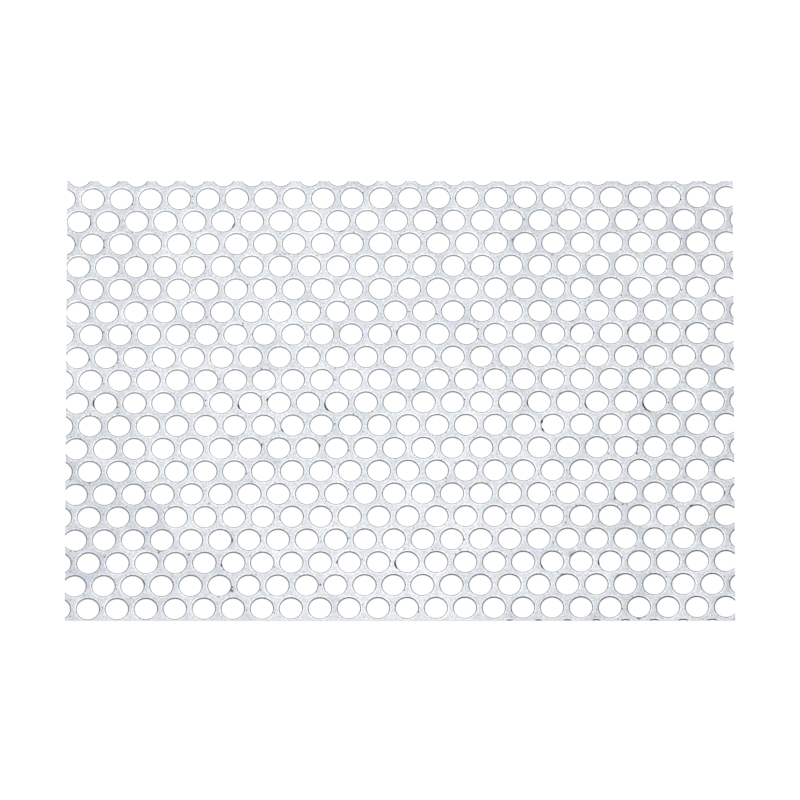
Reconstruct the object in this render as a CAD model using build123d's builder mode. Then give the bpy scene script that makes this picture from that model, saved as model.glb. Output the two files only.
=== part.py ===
"""Perforated steel sheet, a piece cut to size from standard stock.

The stock is 0.5 mm galvanised sheet, punched all over with 8 mm round holes that stand
10 mm apart in a 60-degree stagger, which leaves 42 % of the metal. The piece was
sheared out of it wherever the measure fell, so all four edges run through holes and
there is no plain margin.

The sheet lies flat. The origin is under its middle, on the face it rests on, with
X along its length, Y across its width and Z up. Sizes are in millimetres, angles in
degrees.
"""

import os
from math import ceil, cos, hypot, radians, sin

from build123d import *

# The piece, as it was sheared to size
SHEET_LENGTH = 231.0
SHEET_WIDTH = 167.0
THICKNESS = 0.5

# The perforation
HOLE_DIAMETER = 8.0
PITCH = 10.0  # between neighbouring centres, along a row and from row to row
STAGGER_ANGLE = 60.0  # from a row up to the nearest hole of the next one

# The press punches two rows at a stroke, and isn't quite true
ROW_SLIP = 0.3  # every second row stands this far short of its stagger
ROW_CREEP = 0.09  # the stock drifts this far sideways from row to row

# How the piece was taken out of the stock
FIRST_HOLE_X = -1.83  # the hole nearest to the middle
FIRST_HOLE_Y = -0.9
ROW_CLIMB = 0.24  # angle by which the rows rise against the long edges
LEAST_NOTCH = 0.15  # a hole that reaches in less than this leaves no notch

ROW_SPACING = PITCH * sin(radians(STAGGER_ANGLE))
STAGGER_STEP = PITCH * cos(radians(STAGGER_ANGLE)) - ROW_SLIP


def hole_centre(row, column):
    """Centre of one hole, counted from the hole nearest to the middle."""
    along = column * PITCH + row * ROW_CREEP
    if row % 2:
        along += STAGGER_STEP
    centre = Vector(along, row * ROW_SPACING).rotate(Axis.Z, ROW_CLIMB)
    return centre + Vector(FIRST_HOLE_X, FIRST_HOLE_Y)


def reach_inside(centre):
    """How far a hole reaches in from the sheet's outline."""
    past_end = max(abs(centre.X) - SHEET_LENGTH / 2, 0)
    past_side = max(abs(centre.Y) - SHEET_WIDTH / 2, 0)
    return HOLE_DIAMETER / 2 - hypot(past_end, past_side)


def hole_centres():
    """Centres of all holes in the piece, whole or cut by an edge."""
    far_corner = hypot(SHEET_LENGTH, SHEET_WIDTH) / 2 + PITCH
    last_row = ceil(far_corner / ROW_SPACING)
    last_column = ceil(far_corner / PITCH)
    stock = [
        hole_centre(row, column)
        for row in range(-last_row, last_row + 1)
        for column in range(-last_column, last_column + 1)
    ]
    return [centre for centre in stock if reach_inside(centre) > LEAST_NOTCH]


os.makedirs("parts", exist_ok=True)

with BuildSketch() as punched_outline:
    Rectangle(SHEET_LENGTH, SHEET_WIDTH)
    with Locations(*hole_centres()):
        Circle(HOLE_DIAMETER / 2, mode=Mode.SUBTRACT)

with BuildPart() as perforated_sheet:
    # Crumbs that the shear cuts loose between a hole and a corner fall away
    extrude(punched_outline.faces().sort_by(SortBy.AREA)[-1], amount=THICKNESS)

perforated_sheet.part.label = "perforated_sheet"
export_step(perforated_sheet.part, "parts/perforated_sheet.step")
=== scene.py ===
# %% [markdown]
# # A perforated steel sheet
#
# The object is one piece of galvanised sheet, punched all over with round holes in
# staggered rows, and sheared to size straight through the holes. It lies flat on a
# white floor and is looked down on.
#
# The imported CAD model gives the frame: its size, its place and what it rides on. Here
# the sheet is modelled again as a clean mesh of its own, because a punched hole has
# things that the CAD solid leaves out: a rim that the punch has rolled over, a torn
# wall, and a burr where the tool is chipped.

# %% Load the frame
from math import atan2, cos, degrees, hypot, pi, radians, sin

import bmesh
import bpy
from mathutils import Matrix, Vector, noise


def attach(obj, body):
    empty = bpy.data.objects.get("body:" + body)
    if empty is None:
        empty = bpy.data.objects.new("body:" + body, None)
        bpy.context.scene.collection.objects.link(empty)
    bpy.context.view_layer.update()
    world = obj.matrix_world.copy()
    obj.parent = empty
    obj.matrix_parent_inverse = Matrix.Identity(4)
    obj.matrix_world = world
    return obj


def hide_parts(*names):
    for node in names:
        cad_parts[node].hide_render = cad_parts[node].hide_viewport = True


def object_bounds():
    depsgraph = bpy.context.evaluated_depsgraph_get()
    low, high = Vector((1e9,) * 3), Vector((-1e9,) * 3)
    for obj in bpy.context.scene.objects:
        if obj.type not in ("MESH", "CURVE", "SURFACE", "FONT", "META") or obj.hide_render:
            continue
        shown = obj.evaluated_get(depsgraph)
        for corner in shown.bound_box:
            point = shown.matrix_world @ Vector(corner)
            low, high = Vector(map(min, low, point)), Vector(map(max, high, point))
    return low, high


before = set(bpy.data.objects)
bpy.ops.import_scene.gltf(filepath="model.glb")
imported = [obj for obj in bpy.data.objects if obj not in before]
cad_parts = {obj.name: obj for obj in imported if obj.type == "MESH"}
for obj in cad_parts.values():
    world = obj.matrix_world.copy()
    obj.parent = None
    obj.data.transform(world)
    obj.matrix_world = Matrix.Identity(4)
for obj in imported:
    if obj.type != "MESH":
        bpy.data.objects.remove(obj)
cad_low, cad_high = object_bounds()
cad_size = cad_high - cad_low
print("sheet from the frame, mm:", [round(1000 * side, 2) for side in cad_size])

# %% [markdown]
# ## Sizes
#
# Perforated sheet is sold by two numbers, the hole and the distance between holes. The
# other numbers say how true the work is: a press that punches two rows at a stroke puts
# the second row a little short, the stock drifts sideways as it is fed, and whoever cut
# this piece laid it under the shear a quarter of a degree askew.

# %% Sizes
MM = 0.001

HOLE_RADIUS = 4 * MM
PITCH = 10 * MM
ROW_SPACING = PITCH * sin(radians(60))
ROW_SLIP = 0.3 * MM
ROW_CREEP = 0.09 * MM
FIRST_HOLE = Vector((-1.83 * MM, -0.9 * MM, 0))
ROW_CLIMB = radians(0.24)
LEAST_NOTCH = 0.15 * MM

THICKNESS = cad_size.z
RIM_WIDTH = 0.26 * MM
RIM_DEPTH = 0.08 * MM
WALL_LEAN = 0.13 * MM
SEGMENTS = 24  # sides of a hole
MERGE = 0.01 * MM  # points nearer than this become one
print("open area:", round(100 * pi * HOLE_RADIUS**2 / (PITCH * ROW_SPACING)), "%")

# %% [markdown]
# ## One hole in its hexagon
#
# Staggered holes are each at the middle of a hexagon of metal, and the hexagons fit
# together like a honeycomb. So the sheet can be stamped from one cell. The cell starts
# as the section through a washer: its underside, the wall of the hole, the lip that the
# punch has rolled over, and its top. Spinning the section makes the washer, and then
# its outer points are pushed out to the six sides. The hole is moved along a little in
# its hexagon, because the rows of this stock don't stand quite evenly.
#
# The wall leans in a little towards the underside, and the lip is rolled over by less
# than a tenth of a millimetre. Both are small, but seen from above they draw the line
# round the hole.
#
# Each corner of a face also carries its place in millimetres from the middle of the
# hole. The finish uses it later to darken and polish the metal towards the rim.


# %% One hole in its hexagon
def push_to_hexagon(points):
    """Moves the points of a round outline out to the sides of a hexagon."""
    for point in points:
        from_side = (atan2(point.co.y, point.co.x) + pi / 6) % (pi / 3) - pi / 6
        point.co.x /= cos(from_side)
        point.co.y /= cos(from_side)


def cell_mesh(name, punched, slip=0):
    """A hexagon of metal, whose hole stands `slip` along from its middle."""
    cell = bmesh.new()
    from_hole = cell.loops.layers.float_vector.new("from_hole")
    outside = PITCH / 2
    if punched:
        section = [
            (outside, 0),
            (HOLE_RADIUS - WALL_LEAN, 0),
            (HOLE_RADIUS, THICKNESS - RIM_DEPTH),
            (HOLE_RADIUS + RIM_WIDTH, THICKNESS),
            (outside, THICKNESS),
        ]
        corners = [cell.verts.new((radius, 0, height)) for radius, height in section]
        sides = [cell.edges.new(pair) for pair in zip(corners, corners[1:])]
        bmesh.ops.spin(
            cell, geom=corners + sides, cent=(0, 0, 0), axis=(0, 0, 1),
            angle=2 * pi, steps=SEGMENTS, use_merge=True,
        )
    else:
        for height in (0, THICKNESS):
            bmesh.ops.create_circle(
                cell, cap_ends=True, segments=SEGMENTS, radius=outside,
                matrix=Matrix.Translation((0, 0, height)),
            )
    rim = [point for point in cell.verts if hypot(point.co.x, point.co.y) < 0.99 * outside]
    push_to_hexagon(point for point in cell.verts if point not in rim)
    bmesh.ops.translate(cell, verts=rim, vec=(slip, 0, 0))
    for face in cell.faces:
        for corner in face.loops:
            place = corner.vert.co - Vector((slip, 0, 0))
            corner[from_hole] = place / MM if punched else (PITCH / MM, 0, 0)
    mesh = bpy.data.meshes.new(name)
    cell.to_mesh(mesh)
    cell.free()
    return mesh


even_cell = cell_mesh("even_cell", punched=True, slip=ROW_SLIP / 2)
odd_cell = cell_mesh("odd_cell", punched=True, slip=-ROW_SLIP / 2)
plain_cell = cell_mesh("plain_cell", punched=False)
print("faces in a cell:", len(even_cell.polygons), "and in a plain one:", len(plain_cell.polygons))

# %% [markdown]
# ## Chips and an uneven lip
#
# A punch doesn't roll every lip alike: the roll is a hair wider here and narrower there.
# And this tool is chipped. It has left dark crescents and nicks beside some holes, where
# it dragged the metal along and tore it; their darkness is painted, as painted shade in
# the dents. Nearly all of the darkest are in three of its rows, at the left of the hole.
# Each is written down as its hole, its place round the rim, how far it runs to each side,
# how far the metal is dragged, and how dark its painted shade is. Metal is dragged
# outwards from the lip, or, with a minus, in over the hole, as a burr. A noise moves the
# other points of the lip, and a number on each point tells the finish where a chip is and
# how dark to paint it.

# %% Chips and an uneven lip
# Row, column, degrees round the rim, degrees to each side, mm dragged, how dark the painted shade
CHIPS = [
    (0, -10, 183, 28, 0.22, 1.0), (0, -5, 200, 17, 0.34, 1.0), (0, -4, 166, 14, 0.28, 0.9),
    (0, -2, 207, 30, 0.28, 1.0), (0, 4, 202, 14, 0.10, 0.6), (0, 5, 188, 14, 0.26, 0.8),
    (0, 7, 205, 22, 0.16, 0.8), (0, 9, 212, 34, 0.30, 1.0), (0, 6, 135, 12, 0.34, 0.4),
    (-1, -4, 208, 15, -0.30, 0.9), (-1, 5, 165, 12, -0.50, 1.0), (-1, 5, 210, 12, -0.35, 1.0),
    (-7, -6, 195, 15, 0.20, 1.0), (-7, -2, 180, 12, 0.32, 0.6), (-7, 0, 198, 26, 0.36, 1.0),
    (-7, 5, 207, 20, -0.20, 0.9), (-7, 6, 147, 15, 0.26, 0.4), (-7, 7, 190, 14, -0.25, 1.0),
    (-2, -5, 15, 14, 0.30, 0.5), (-2, -3, 15, 15, 0.34, 0.6), (-2, 8, 20, 17, 0.40, 0.6),
    (-2, 8, 335, 14, 0.24, 0.5), (-3, -11, 272, 14, 0.26, 0.6), (-4, 8, 210, 13, 0.40, 0.5),
    (-4, 11, 355, 12, 0.38, 0.7), (-5, 10, 120, 14, 0.22, 0.7), (-6, -8, 262, 13, 0.36, 0.4),
    (-6, -6, 3, 13, 0.38, 0.6), (-8, -9, 17, 20, 0.14, 0.6), (-8, -6, 340, 12, 0.36, 0.5),
    (-8, 6, 117, 13, 0.28, 0.6), (-8, 8, 132, 22, 0.16, 0.5), (-9, 8, 270, 14, 0.75, 0.4),
    (-9, 8, 295, 15, 0.30, 0.4), (2, 8, 355, 13, 0.38, 0.5), (3, 0, 172, 16, 0.22, 0.5),
    (3, 6, 152, 20, 0.08, 0.6), (3, 8, 166, 28, 0.10, 0.6), (3, 9, 172, 28, 0.08, 0.5),
    (3, 10, 160, 24, 0.12, 0.6), (4, 6, 290, 12, 0.14, 0.5), (8, -11, 342, 14, 0.16, 0.5),
    (8, -6, 335, 14, -0.25, 1.0), (8, -2, 285, 12, 0.16, 0.5), (8, 8, 325, 15, 0.14, 0.6),
    (7, 4, 167, 12, 0.34, 0.4),
]
UNEVEN = 0.08 * MM  # how far an unchipped lip wanders in and out
UNEVEN_RUN = 2.5 * MM  # and over what length


def wear_lip(points, middle, chips):
    """Makes the lip of one hole uneven, and drags it where the tool is chipped."""
    for point in points:
        away = hypot(point.co.x - middle.x, point.co.y - middle.y)
        if away > HOLE_RADIUS + 1.5 * RIM_WIDTH or point.co.z < THICKNESS / 2:
            continue
        lip = point.co.z > THICKNESS - RIM_DEPTH / 2
        outward = Vector(((point.co - middle).x, (point.co - middle).y, 0)).normalized()
        drag = UNEVEN * noise.noise(point.co / UNEVEN_RUN) if lip else 0
        for place, run, dragged, dark in chips:
            turn = (degrees(atan2(outward.y, outward.x)) - place + 180) % 360 - 180
            here = max(0, 1 - abs(turn) / run) ** 0.5
            point[chipped] = max(point[chipped], here * dark)
            if lip == (dragged > 0):
                drag += dragged * here * MM
        point.co += outward * drag


# %% [markdown]
# ## Stamping the stock
#
# The cells are laid out row by row, a little past the outline of the sheet on all
# sides, and their shared points are merged. A hole that would only graze the outline
# gets a plain cell. Then one matrix gives all of it the drift of the feed and the turn
# under the shear, and moves it to its place.

# %% Stamping the stock
half_length, half_width = cad_size.x / 2, cad_size.y / 2

lean = Matrix.Identity(4)
lean[0][1] = ROW_CREEP / ROW_SPACING
middle_of_cell = FIRST_HOLE - Vector((ROW_SLIP / 2, 0, 0))
lay = Matrix.Translation(middle_of_cell) @ Matrix.Rotation(ROW_CLIMB, 4, "Z") @ lean


def reach_inside(centre):
    """How far a hole reaches in from the sheet's outline."""
    past_end = max(abs(centre.x) - half_length, 0)
    past_side = max(abs(centre.y) - half_width, 0)
    return HOLE_RADIUS - hypot(past_end, past_side)


def stamp(stock, mesh, place):
    """Adds one cell to the stock, and gives its points."""
    before = len(stock.verts)
    stock.from_mesh(mesh)
    stock.verts.ensure_lookup_table()
    points = stock.verts[before:]
    bmesh.ops.translate(stock, verts=points, vec=place)
    return points


stock = bmesh.new()
stock.loops.layers.float_vector.new("from_hole")
chipped = stock.verts.layers.float.new("chipped")
last_row = int(half_width / ROW_SPACING) + 2
last_column = int(half_length / PITCH) + 2
holes = 0
for row in range(-last_row, last_row + 1):
    odd = row % 2
    for column in range(-last_column, last_column + 1 - odd):
        place = Vector((column * PITCH + odd * PITCH / 2, row * ROW_SPACING, 0))
        middle = place + Vector((-ROW_SLIP / 2 if odd else ROW_SLIP / 2, 0, 0))
        if reach_inside(lay @ middle) > LEAST_NOTCH:
            points = stamp(stock, odd_cell if odd else even_cell, place)
            wear_lip(points, middle, [chip[2:] for chip in CHIPS if chip[:2] == (row, column)])
            holes += 1
        else:
            stamp(stock, plain_cell, place)

bmesh.ops.remove_doubles(stock, verts=stock.verts, dist=MERGE)
print("holes:", holes, "faces:", len(stock.faces))

# %% [markdown]
# ## Shearing it to size
#
# The outside of the honeycomb is closed first, so that the stock is a solid body. Then
# four planes cut it to the outline. A plane through a solid leaves flat closed loops,
# one for each bar of metal it went through, and filling them gives the sheared edge.

# %% Shearing it to size
COAT, TORN, CUT = 0, 1, 2

foot = [edge for edge in stock.edges if edge.is_boundary and edge.verts[0].co.z < THICKNESS / 2]
outside = bmesh.ops.extrude_edge_only(stock, edges=foot)
raised = [part for part in outside["geom"] if isinstance(part, bmesh.types.BMVert)]
bmesh.ops.translate(stock, verts=raised, vec=(0, 0, THICKNESS))
bmesh.ops.remove_doubles(stock, verts=stock.verts, dist=MERGE)
bmesh.ops.recalc_face_normals(stock, faces=stock.faces)
bmesh.ops.transform(stock, matrix=lay, verts=stock.verts)
for face in stock.faces:
    face.material_index = COAT if abs(face.normal.z) > 0.3 else TORN


def shear(stock, outward, reach):
    """Cuts away all that lies past one side of the sheet, and closes the cut."""
    cut = bmesh.ops.bisect_plane(
        stock, geom=stock.verts[:] + stock.edges[:] + stock.faces[:],
        dist=0.0001 * MM, plane_co=outward * reach, plane_no=outward, clear_outer=True,
    )
    edges = [part for part in cut["geom_cut"] if isinstance(part, bmesh.types.BMEdge)]
    edges = [edge for edge in edges if edge.is_boundary]
    filled = bmesh.ops.edgeloop_fill(stock, edges=edges, mat_nr=CUT)
    return len(filled["faces"])


for outward, reach in (
    (Vector((1, 0, 0)), half_length),
    (Vector((-1, 0, 0)), half_length),
    (Vector((0, 1, 0)), half_width),
    (Vector((0, -1, 0)), half_width),
):
    print("bars cut:", shear(stock, outward, reach))

print("open edges left:", sum(not edge.is_manifold for edge in stock.edges))

# %% [markdown]
# ## Making the sheet an object
#
# The mesh becomes one object, in the place where the CAD model has its sheet. Its faces
# are smoothed, except across the sharp turns at the walls and at the sheared edges, so
# that the rolled lips run softly into the flat metal. Weighted normals keep the large
# flat faces flat while the small ones at the lip take up the bend.
#
# The sheet stands in for the CAD part `perforated_sheet`, which is hidden, and rides on the
# frame's one body.

# %% Making the sheet an object
SHARP_TURN = radians(60)

sheet_mesh = bpy.data.meshes.new("galvanised_perforated_sheet")
stock.to_mesh(sheet_mesh)
stock.free()
sheet = bpy.data.objects.new("galvanised_perforated_sheet", sheet_mesh)
bpy.context.scene.collection.objects.link(sheet)
for polygon in sheet_mesh.polygons:
    polygon.use_smooth = True
sheet_mesh.set_sharp_from_angle(angle=SHARP_TURN)
weighted = sheet.modifiers.new("flat metal stays flat", "WEIGHTED_NORMAL")
weighted.keep_sharp = True

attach(sheet, "root")
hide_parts("perforated_sheet")
print("triangles:", sum(len(polygon.vertices) - 2 for polygon in sheet_mesh.polygons))

# %% [markdown]
# ## Helpers for the finishes
#
# A finish is a small tree of nodes. One function adds any node, with its settings, its
# plain values and its links in one line, so that the lines below read like a recipe.
# Colours are written as hex codes, the way a painter picks them, and turned to the
# linear values that a shader counts in.


# %% Helpers for the finishes
def linear(code):
    """A hex colour, as a painter picks it, turned to the linear values of a shader."""
    parts = [int(code[i : i + 2], 16) / 255 for i in (1, 3, 5)]
    return [p / 12.92 if p <= 0.04045 else ((p + 0.055) / 1.055) ** 2.4 for p in parts] + [1]


def add(tree, kind, inputs=(), stops=(), **settings):
    """Adds a node. An input is another node, one of its sockets, or a plain value."""
    node = tree.nodes.new(kind)
    for name, value in settings.items():
        setattr(node, name, value)
    for socket, value in dict(inputs).items():
        if isinstance(value, bpy.types.Node):
            value = value.outputs[0]
        if isinstance(value, bpy.types.NodeSocket):
            tree.links.new(value, node.inputs[socket])
        else:
            node.inputs[socket].default_value = linear(value) if isinstance(value, str) else value
    if stops:
        elements = node.color_ramp.elements
        while len(elements) < len(stops):
            elements.new(0.5)
        for element, (place, colour) in zip(elements, stops):
            element.position = place
            element.color = linear(colour)
    return node


def new_material(name):
    """An empty material, and its tree."""
    material = bpy.data.materials.new(name)
    material.use_nodes = True
    material.node_tree.nodes.clear()
    return material, material.node_tree


# %% [markdown]
# ## Hot-dip galvanised steel: the coat
#
# The stock is dipped in molten zinc and drawn out between rollers, and that leaves three
# patterns at three sizes. Clouds, about 18 mm across, are where the coat froze faster or
# slower and took the air since. Faint streaks run the way the stock was drawn. Over both
# lies the grain of the zinc. Real grain is a tenth of a millimetre and would be lost when
# the whole sheet is seen, so here it is drawn at 0.7 mm, where it gives the eye the same
# sparkle.
#
# Clouds and streaks make one number, the tone, that a ramp turns to colour further on.
# All patterns are measured in millimetres on the sheet itself.

# %% Hot-dip galvanised steel: the coat
CLOUD = 18  # mm
STREAK = (14, 1.6)  # mm, along and across the sheet
GRAIN = 0.7  # mm
CLOUD_STRENGTH = 0.55
STREAK_STRENGTH = 0.06
MIDDLE_TONE = 0.73

zinc, tree = new_material("hot-dip galvanised steel")
where = add(tree, "ShaderNodeTexCoord")
mm = add(tree, "ShaderNodeMapping", {
    "Vector": where.outputs["Object"], "Scale": (1000, 1000, 1000),
})

clouds = add(tree, "ShaderNodeTexNoise", {
    "Vector": mm, "Scale": 1 / CLOUD, "Detail": 5.0, "Roughness": 0.62,
})
drawn = add(tree, "ShaderNodeMapping", {"Vector": mm, "Scale": (1 / STREAK[0], 1 / STREAK[1], 1)})
streaks = add(tree, "ShaderNodeTexNoise", {
    "Vector": drawn, "Scale": 1.0, "Detail": 2.0, "Roughness": 0.6,
})
grain = add(tree, "ShaderNodeTexNoise", {
    "Vector": mm, "Scale": 1 / GRAIN, "Detail": 2.0, "Roughness": 0.7,
})

# The noises swing about a half, so each takes half its strength off the middle tone.
even_tone = MIDDLE_TONE - CLOUD_STRENGTH / 2 - STREAK_STRENGTH / 2
tone = add(tree, "ShaderNodeMath", {
    0: clouds, 1: CLOUD_STRENGTH, 2: even_tone,
}, operation="MULTIPLY_ADD")
tone = add(tree, "ShaderNodeMath", {
    0: streaks, 1: STREAK_STRENGTH, 2: tone,
}, operation="MULTIPLY_ADD")

# %% [markdown]
# ## Stains and a painted sheen
#
# The sheet has been handled and stored: four smudges show between holes, and small dark
# stains sit beside the holes where something has dried. Five wide areas are a shade
# brighter or duller than the rest; these are a painted sheen, brightest low in the middle
# of the sheet. All are written down one by one, and the stains are how an owner would
# know their sheet. Each fades out softly, and takes its depth off the tone.

# %% Stains and a painted sheen
# X, Y and reach in mm, and how dark; a depth below nought is painted brighter
# The first five, the wide ones, are painted sheen; the others are stains and smudges
STAINS_AND_SHEEN = [
    (-5, -60, 55, -0.06), (-110, -45, 45, 0.07), (112, -10, 60, 0.03), (-50, 70, 40, -0.03),
    (40, 55, 45, 0.02), (59.3, -58.4, 2.4, 0.22), (-58.2, -13.9, 2.4, 0.22),
    (-22.0, 44.7, 2.0, 0.15), (39.3, 60.8, 1.6, 0.18), (-57.9, -72.5, 0.7, 0.7),
    (-72.8, -58.8, 0.7, 0.5), (-27.5, -70.2, 0.6, 0.7), (-47.6, -16.9, 0.8, 0.35),
    (-65.9, -39.4, 0.6, 0.4), (-101.9, -59.5, 0.8, 0.35), (-87.3, -50.4, 0.6, 0.45),
    (-66.9, 31.4, 0.6, 0.45), (57.2, -46.6, 0.6, 0.5), (-83.2, -58.0, 0.6, 0.5),
    (20.6, -56.9, 0.5, 0.7), (81.9, -20.5, 0.6, 0.6), (82.3, -15.5, 0.5, 0.6),
    (-88.4, -56.5, 0.6, 0.4), (52.8, -54.2, 0.6, 0.45), (98.4, -29.5, 0.6, 0.4),
    (91.8, -67.1, 0.5, 0.55), (83.2, 15.4, 0.5, 0.6), (78.3, -39.8, 0.5, 0.5),
    (76.9, -39.7, 0.5, 0.7), (73.9, -37.9, 0.5, 0.55), (-51.7, -59.2, 0.5, 0.5),
]

# Small entries paint stains into the tone; the five wide ones paint a sheen of light.
for x, y, reach, depth in STAINS_AND_SHEEN:
    away = add(tree, "ShaderNodeVectorMath", {
        0: mm, 1: (x, y, THICKNESS / MM),
    }, operation="DISTANCE")
    stain_and_sheen = add(tree, "ShaderNodeMapRange", {
        "Value": away.outputs["Value"], "From Min": 0.2 * reach, "From Max": reach,
        "To Min": depth, "To Max": 0.0,
    }, interpolation_type="SMOOTHSTEP")
    tone = add(tree, "ShaderNodeMath", {0: tone, 1: stain_and_sheen}, operation="SUBTRACT")
print("stains and blooms:", len(STAINS_AND_SHEEN))

# %% [markdown]
# ## Specks
#
# Hundreds of specks of dross and grit, about half a millimetre across, are too many to
# write down. A pattern of cells gives each cell a random number and a middle. The cells
# with the highest numbers get a speck there. Near a hole the number is raised, most at
# its right side, because that is where the specks of this sheet gather.
#
# This is where the stamped cells help: each point of the mesh knows how far, and which
# way, it lies from the middle of its hole.

# %% Specks
SPECK_CELL = 1.6  # mm, room for one speck at most

spot = add(tree, "ShaderNodeAttribute", attribute_name="from_hole")
across = add(tree, "ShaderNodeSeparateXYZ", {"Vector": spot.outputs["Vector"]})
level = add(tree, "ShaderNodeVectorMath", {
    0: spot.outputs["Vector"], 1: (1, 1, 0),
}, operation="MULTIPLY")
radius = add(tree, "ShaderNodeVectorMath", {0: level}, operation="LENGTH").outputs["Value"]

cells = add(tree, "ShaderNodeTexVoronoi", {
    "Vector": mm, "Scale": 1 / SPECK_CELL, "Randomness": 1.0,
}, voronoi_dimensions="2D")
chance = add(tree, "ShaderNodeSeparateColor", {"Color": cells.outputs["Color"]})
beside = add(tree, "ShaderNodeMapRange", {
    "Value": radius, "From Min": 4.7, "From Max": 5.2, "To Min": 0.22, "To Max": 0.0,
})
right_side = add(tree, "ShaderNodeMapRange", {
    "Value": across.outputs["X"], "From Min": 3.5, "From Max": 4.3, "To Min": 0.4, "To Max": 1.0,
})
beside = add(tree, "ShaderNodeMath", {0: beside, 1: right_side}, operation="MULTIPLY")
chance = add(tree, "ShaderNodeMath", {0: chance, 1: beside}, operation="ADD")
few = add(tree, "ShaderNodeMapRange", {
    "Value": chance, "From Min": 0.92, "From Max": 1.12, "To Min": 0.0, "To Max": 0.8,
})
dot = add(tree, "ShaderNodeMapRange", {
    "Value": cells.outputs["Distance"], "From Min": 0.08, "From Max": 0.24,
    "To Min": 1.0, "To Max": 0.0,
})
speck = add(tree, "ShaderNodeMath", {0: few, 1: dot}, operation="MULTIPLY")
tone = add(tree, "ShaderNodeMath", {0: tone, 1: speck}, operation="SUBTRACT")

# %% [markdown]
# ## The colour of the coat
#
# The ramp gives the eye what says "zinc": dull parts are a bluish grey, bright parts are
# nearly neutral, and only stains and specks go down to slate. A colour noise then leans
# single patches towards lilac or green by a hair, as the thin oxide on zinc does, and
# the grain makes each spot a little brighter or darker without changing its hue.

# %% The colour of the coat
TINT = 5  # mm

colour = add(tree, "ShaderNodeValToRGB", {"Fac": tone}, stops=[
    (0.00, "#4A4E55"), (0.45, "#A6ACB4"), (1.00, "#DFE0E1"),
])
tints = add(tree, "ShaderNodeTexNoise", {
    "Vector": mm, "Scale": 1 / TINT, "Detail": 4.0, "Roughness": 0.85,
})
colour = add(tree, "ShaderNodeMix", {
    0: 0.045, 6: colour, 7: tints.outputs["Color"],
}, data_type="RGBA", blend_type="LINEAR_LIGHT")
sparkle = add(tree, "ShaderNodeMapRange", {
    "Value": grain, "From Min": 0.0, "From Max": 1.0, "To Min": 0.5, "To Max": 1.5,
})
colour = add(tree, "ShaderNodeVectorMath", {
    0: colour.outputs[2], "Scale": sparkle,
}, operation="SCALE")

# %% [markdown]
# ## Rims and chips
#
# The punch has burnished the zinc off the rolled lip, and a thin darker ring is painted on
# the lip and just past it: partly that duller metal, partly painted shade of the roll.
# That ring is what makes each hole read as punched and not as printed. The lips that face
# the middle of the sheet are also painted a little brighter than those that face away
# from it: painted light and shade.
# On the far side of each hole the roll is painted brighter, a painted highlight, and the
# dark line there is the wall below it, painted into shade.
#
# Where the tool is chipped, the lip is painted nearly black: painted shade in the chip.
# The number that the mesh carries there fades it in.

# %% Rims and chips
# Painted shade: a darker ring on the lip and just past it, partly the burnished metal.
ring = add(tree, "ShaderNodeMapRange", {
    "Value": radius, "From Min": HOLE_RADIUS / MM, "From Max": HOLE_RADIUS / MM + 1,
})
rim = add(tree, "ShaderNodeValToRGB", {"Fac": ring}, stops=[
    (0.00, "#C2C4C9"), (0.20, "#C6C8CC"), (0.32, "#FFFFFF"),
])
on_lip = add(tree, "ShaderNodeMapRange", {
    "Value": radius, "From Min": 4.30, "From Max": 4.42, "To Min": 1.0, "To Max": 0.0,
})
# Painted light and shade: lips facing the sheet's middle are painted brighter, lips facing away
# darker.
from_middle = add(tree, "ShaderNodeSeparateXYZ", {"Vector": mm})
outwards = add(tree, "ShaderNodeMath", {0: from_middle, 1: across}, operation="MULTIPLY")
painted_lip_light_and_shade = add(tree, "ShaderNodeMapRange", {
    "Value": outwards, "From Min": -460.0, "From Max": 460.0, "To Min": 0.86, "To Max": 1.18,
})
painted_lip_light_and_shade = add(tree, "ShaderNodeMix", {0: on_lip, 2: 1.0, 3: painted_lip_light_and_shade})
rim = add(tree, "ShaderNodeVectorMath", {0: rim, "Scale": painted_lip_light_and_shade}, operation="SCALE")
# Painted highlight: the roll on the far side of each hole is painted up to 1.8 times brighter.
painted_far_side = add(tree, "ShaderNodeMapRange", {
    "Value": across.outputs["Y"], "From Min": 0.0, "From Max": 4.0, "To Min": 1.0, "To Max": 1.8,
})
on_roll = add(tree, "ShaderNodeMapRange", {
    "Value": radius, "From Min": 4.22, "From Max": 4.34, "To Min": 1.0, "To Max": 0.0,
})
painted_far_side = add(tree, "ShaderNodeMix", {0: on_roll, 2: 1.0, 3: painted_far_side})
rim = add(tree, "ShaderNodeVectorMath", {0: rim, "Scale": painted_far_side}, operation="SCALE")
colour = add(tree, "ShaderNodeVectorMath", {0: colour, 1: rim}, operation="MULTIPLY")

chip = add(tree, "ShaderNodeAttribute", attribute_name="chipped")
# Painted shade in the chips: the chipped lip is mixed towards near black.
painted_chip_shade = add(tree, "ShaderNodeMapRange", {
    "Value": chip.outputs["Fac"], "From Min": 0.1, "From Max": 0.7, "To Min": 0.0, "To Max": 0.95,
})
painted_chip_shade = add(tree, "ShaderNodeMath", {0: painted_chip_shade, 1: on_lip}, operation="MULTIPLY")
colour = add(tree, "ShaderNodeMix", {0: painted_chip_shade, 6: colour, 7: "#2E3034"}, data_type="RGBA")

# %% [markdown]
# ## The metal itself
#
# Zinc is a metal all through, so the colour tints its reflections and there is no paint
# over it. Its coat scatters them softly: the sheet takes on the brightness of what it
# faces without mirroring it. The lip is burnished a little smoother, and the
# grain dents the surface by a hair, so that the sparkle moves with the light.

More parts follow.
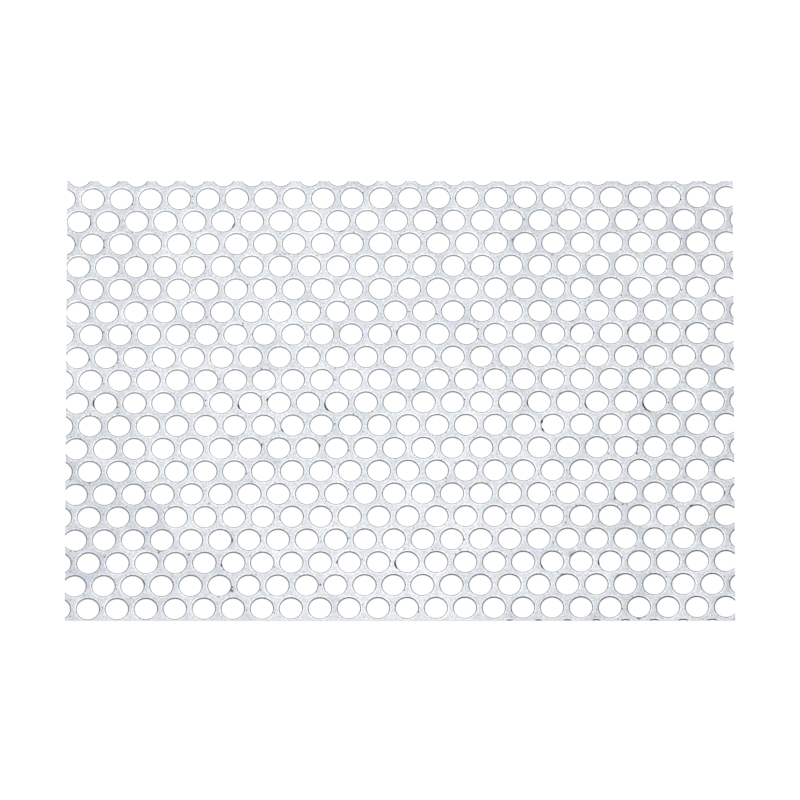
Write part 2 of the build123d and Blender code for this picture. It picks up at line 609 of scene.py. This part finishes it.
# %% The metal itself
soft = add(tree, "ShaderNodeMapRange", {
    "Value": radius, "From Min": 4.3, "From Max": 4.8, "To Min": 0.33, "To Max": 0.42,
})
bump = add(tree, "ShaderNodeBump", {"Height": grain, "Strength": 0.12, "Distance": 0.1 * MM})
shader = add(tree, "ShaderNodeBsdfPrincipled", {
    "Base Color": colour.outputs[2], "Metallic": 1.0, "Roughness": soft, "Normal": bump,
})
add(tree, "ShaderNodeOutputMaterial", {"Surface": shader})

# %% [markdown]
# ## Torn steel inside a hole, with painted shade
#
# A punch cuts only the first part of the way, and then the slug breaks out. The wall that
# is left has no zinc on it: it is raw, torn steel, rough and duller than the face. Seen
# from above it is the fine dark line under the far side of each hole. The far wall, which
# faces the viewer and turns its back on the softbox, is painted much darker: painted shade.
# Both walls are also painted darker towards the near right corner of this sheet: painted
# shade as well.

# %% Torn steel inside a hole
torn, tree = new_material("torn steel inside a punched hole, painted shade")
where = add(tree, "ShaderNodeTexCoord")
# Painted shade: both walls are painted darker towards the near right corner.
to_corner = add(tree, "ShaderNodeVectorMath", {
    0: where.outputs["Object"], 1: (5, -12, 0),
}, operation="DOT_PRODUCT")
painted_corner_shade = add(tree, "ShaderNodeMapRange", {
    "Value": to_corner.outputs["Value"], "From Min": -1.4, "From Max": 1.4,
})
other_walls = add(tree, "ShaderNodeValToRGB", {"Fac": painted_corner_shade}, stops=[
    (0.0, "#DCDFE4"), (1.0, "#A9ACB4"),
])
# Painted shade on the far wall, which faces away from the softbox.
far_wall_painted_shade = add(tree, "ShaderNodeValToRGB", {"Fac": painted_corner_shade}, stops=[
    (0.0, "#C4C8CE"), (1.0, "#34383F"),
])
spot = add(tree, "ShaderNodeAttribute", attribute_name="from_hole")
across = add(tree, "ShaderNodeSeparateXYZ", {"Vector": spot.outputs["Vector"]})
# Painted shade: the far wall of each hole takes the dark ramp.
painted_far_side = add(tree, "ShaderNodeMapRange", {
    "Value": across.outputs["Y"], "From Min": 1.0, "From Max": 3.6, "To Min": 0.0, "To Max": 1.0,
})
colour = add(tree, "ShaderNodeMix", {
    0: painted_far_side, 6: other_walls, 7: far_wall_painted_shade,
}, data_type="RGBA")
shader = add(tree, "ShaderNodeBsdfPrincipled", {
    "Base Color": colour.outputs[2], "Metallic": 1.0, "Roughness": 0.6,
})
add(tree, "ShaderNodeOutputMaterial", {"Surface": shader})

# %% [markdown]
# ## Sheared edges
#
# The guillotine cuts cleaner than the punch. Its edge is bright bare steel, and gives the
# near side of the sheet a thin light line.
#
# The three materials go on the mesh in the order of the numbers that its faces carry.

# %% Sheared edges
cut, tree = new_material("freshly sheared steel edge")
shader = add(tree, "ShaderNodeBsdfPrincipled", {
    "Base Color": "#E6E7E9", "Metallic": 1.0, "Roughness": 0.4,
})
add(tree, "ShaderNodeOutputMaterial", {"Surface": shader})

for material in (zinc, torn, cut):
    sheet_mesh.materials.append(material)
for number, material in enumerate(sheet_mesh.materials):
    faces = sum(polygon.material_index == number for polygon in sheet_mesh.polygons)
    print(material.name, "on", faces, "faces")

# %% [markdown]
# ## The white floor
#
# The sheet lies on a white studio floor, and the floor is also the background: it runs on
# behind the sheet as far as any low view can see. It is matt and keeps the sheet's shadow.
# A weak glow, that only the eye and the metal's reflections see, lifts it to clean white
# without putting any light on the sheet.

# %% The white floor
FLOOR_REACH = 6  # m to each side
FLOOR_GLOW = 0.38

floor_maker = bmesh.new()
bmesh.ops.create_grid(floor_maker, x_segments=1, y_segments=1, size=FLOOR_REACH)
floor_mesh = bpy.data.meshes.new("floor")
floor_maker.to_mesh(floor_mesh)
floor_maker.free()
floor = bpy.data.objects.new("floor", floor_mesh)
bpy.context.scene.collection.objects.link(floor)

white, tree = new_material("matt white studio floor")
rays = add(tree, "ShaderNodeLightPath")
seen = add(tree, "ShaderNodeMath", {
    0: rays.outputs["Is Camera Ray"], 1: rays.outputs["Is Glossy Ray"],
}, operation="MAXIMUM")
seen = add(tree, "ShaderNodeMath", {
    0: seen, 1: rays.outputs["Is Transmission Ray"],
}, operation="MAXIMUM")
lift = add(tree, "ShaderNodeMath", {0: seen, 1: FLOOR_GLOW}, operation="MULTIPLY")
matt = add(tree, "ShaderNodeBsdfDiffuse", {"Color": "#F2F2F2"})
glow = add(tree, "ShaderNodeEmission", {"Color": "#FFFFFF", "Strength": lift})
both = add(tree, "ShaderNodeAddShader", {0: matt, 1: glow})
add(tree, "ShaderNodeOutputMaterial", {"Surface": both})
floor_mesh.materials.append(white)

# %% [markdown]
# ## Light
#
# Flat metal shows what it faces. Seen from the near side, this sheet faces up and away,
# so a square softbox hangs just there, at the mirror of the camera's angle. It fills
# the whole sheet with one pale sheen, a little stronger in the middle. An even white room
# gives the rest: it is dimmer than the softbox, so lips and walls, which face elsewhere,
# come out darker than the face of the sheet.

# %% Light
ELEVATION = radians(65.4)  # of the camera above the floor
ROOM_STRENGTH = 0.65
SOFTBOX_SIZE = 0.42  # m
SOFTBOX_STRENGTH = 1.52
SOFTBOX_DISTANCE = 0.75  # m
SOFTBOX_SHIFT = Vector((-0.02, -0.04, 0))  # m

scene = bpy.context.scene
scene.view_settings.view_transform = "Standard"
world = bpy.data.worlds.new("studio")
scene.world = world
world.use_nodes = True
tree = world.node_tree
tree.nodes.clear()
room = add(tree, "ShaderNodeBackground", {"Color": "#FFFFFF", "Strength": ROOM_STRENGTH})
add(tree, "ShaderNodeOutputWorld", {"Surface": room})

mirror = Vector((0, cos(ELEVATION), sin(ELEVATION)))
softbox_data = bpy.data.lights.new("softbox", "AREA")
softbox_data.shape = "SQUARE"
softbox_data.size = SOFTBOX_SIZE
softbox_data.energy = SOFTBOX_STRENGTH * pi * softbox_data.size**2
softbox = bpy.data.objects.new("softbox", softbox_data)
scene.collection.objects.link(softbox)
softbox.location = SOFTBOX_SHIFT + SOFTBOX_DISTANCE * mirror
softbox.rotation_euler = (ELEVATION - radians(90), 0, 0)
print("softbox at, m:", [round(part, 3) for part in softbox.location])

# %% [markdown]
# ## Camera
#
# The camera looks down on the sheet from the near side, 65.4 degrees above the floor. It
# stands far off with a very long lens, so that the rows run parallel and all holes show
# as the same oval. Its distance follows from the lens and from how much of the frame
# the sheet is to fill, a little over four fifths.

# %% Camera
SENSOR_WIDTH = 36  # mm
LENS = 1200  # mm
VIEW_REACH = 100  # m
SHARE_OF_FRAME = 0.83475  # of its width, that the sheet fills

camera_data = bpy.data.cameras.new("camera")
camera_data.sensor_width = SENSOR_WIDTH
camera_data.lens = LENS
camera_data.clip_end = VIEW_REACH
camera = bpy.data.objects.new("camera", camera_data)
scene.collection.objects.link(camera)
scene.camera = camera
frame_width = cad_size.x / SHARE_OF_FRAME
distance = frame_width * camera_data.lens / camera_data.sensor_width
middle_of_sheet = (cad_low + cad_high) / 2
camera.location = middle_of_sheet + distance * Vector((0, -cos(ELEVATION), sin(ELEVATION)))
camera.rotation_euler = (radians(90) - ELEVATION, 0, 0)
print("camera distance, m:", round(distance, 2))
